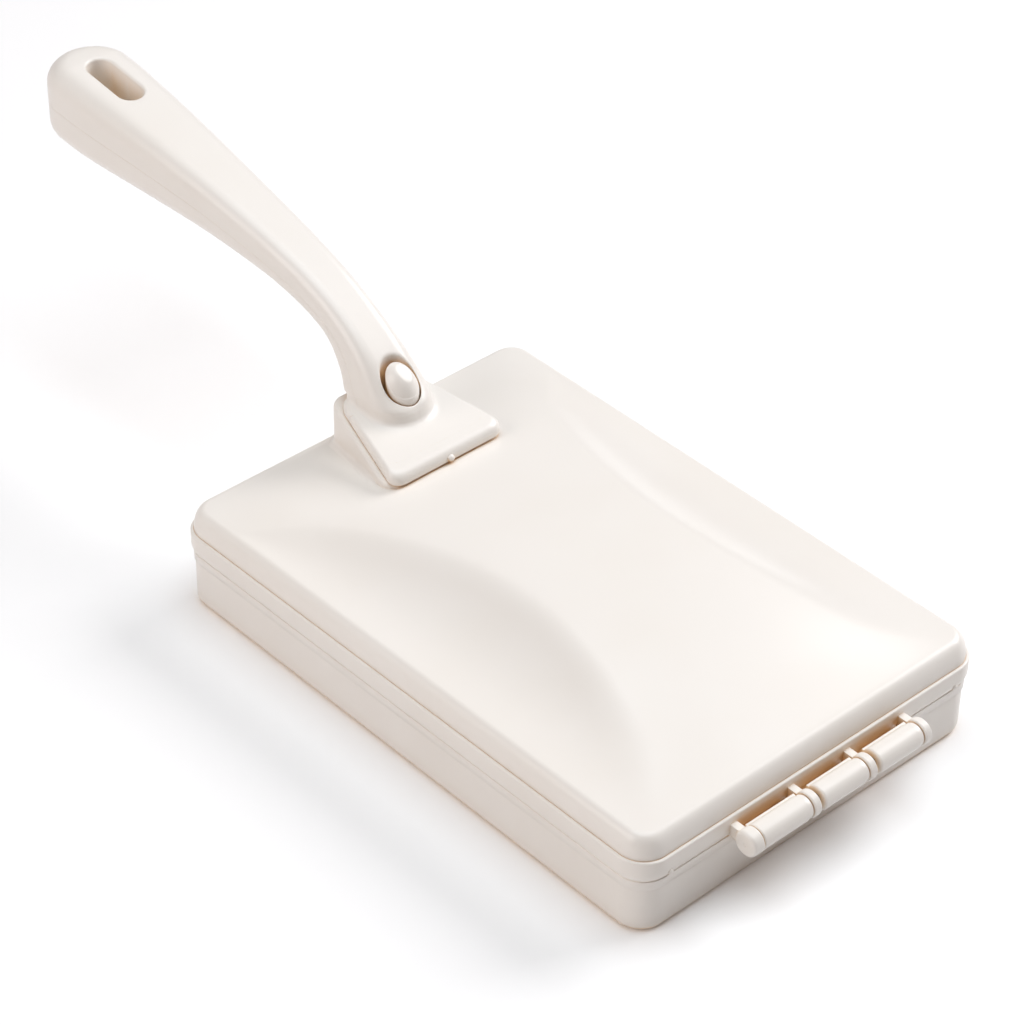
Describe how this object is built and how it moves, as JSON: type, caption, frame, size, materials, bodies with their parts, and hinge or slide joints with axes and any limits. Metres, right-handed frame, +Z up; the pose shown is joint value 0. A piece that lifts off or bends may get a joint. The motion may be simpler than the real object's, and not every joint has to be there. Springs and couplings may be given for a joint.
{
  "type": "pet hair removal brush",
  "caption": "Cream hand-held hair sweeper: sculpted clamshell head on brush rollers, barrel hinge in front, loop-end handle on a wedge with a release button.",
  "frame": {"origin": "on the table plane, under the middle of the head", "axes": "+X runs along the head and handle towards the hinge, +Y across the head, +Z up"},
  "size_m": [0.3304, 0.128, 0.0984],
  "materials": {
    "cream_plastic": "satin moulded cream plastic",
    "inner_plastic": "plain moulded plastic",
    "steel_wire": "bright zinc plated steel",
    "bristle_fibre": "nylon bristle tufts"
  },
  "bodies": {
    "tray": {"base_tray": "cream_plastic", "left_bearing_plate": "inner_plastic", "right_bearing_plate": "inner_plastic", "bearing_screws": "steel_wire"},
    "cover": {"top_cover": "cream_plastic", "hinge_pin": "steel_wire", "handle_upper_shell": "cream_plastic", "handle_lower_shell": "cream_plastic", "foot_plate": "inner_plastic", "handle_screws": "steel_wire", "button_spring": "steel_wire"},
    "button": {"release_button": "cream_plastic", "button_collar": "steel_wire"},
    "front_roller": {"front_roller_core": "inner_plastic", "front_roller_bristles": "bristle_fibre", "front_left_plug": "inner_plastic", "front_right_plug": "inner_plastic"},
    "rear_roller": {"rear_roller_core": "inner_plastic", "rear_roller_bristles": "bristle_fibre", "rear_left_plug": "inner_plastic", "rear_right_plug": "inner_plastic"}
  },
  "joints": [
    {"name": "cover_hinge", "type": "hinge", "parent": "tray", "child": "cover", "pos_m": [0.1006, 0, 0.0211], "axis": [0, 1, 0], "range_deg": [0, 110]},
    {"name": "front_roller_spin", "type": "hinge", "parent": "tray", "child": "front_roller", "pos_m": [0.017, 0, 0.0141], "axis": [0, 1, 0], "continuous": true},
    {"name": "rear_roller_spin", "type": "hinge", "parent": "tray", "child": "rear_roller", "pos_m": [-0.017, 0, 0.0141], "axis": [0, 1, 0], "continuous": true},
    {"name": "button_press", "type": "slide", "parent": "cover", "child": "button", "axis": [0, 0, -1], "range_m": [0, 0.003], "stiffness_N_per_m": 400, "springref_m": -0.003, "deforming": ["button_spring"]}
  ]
}
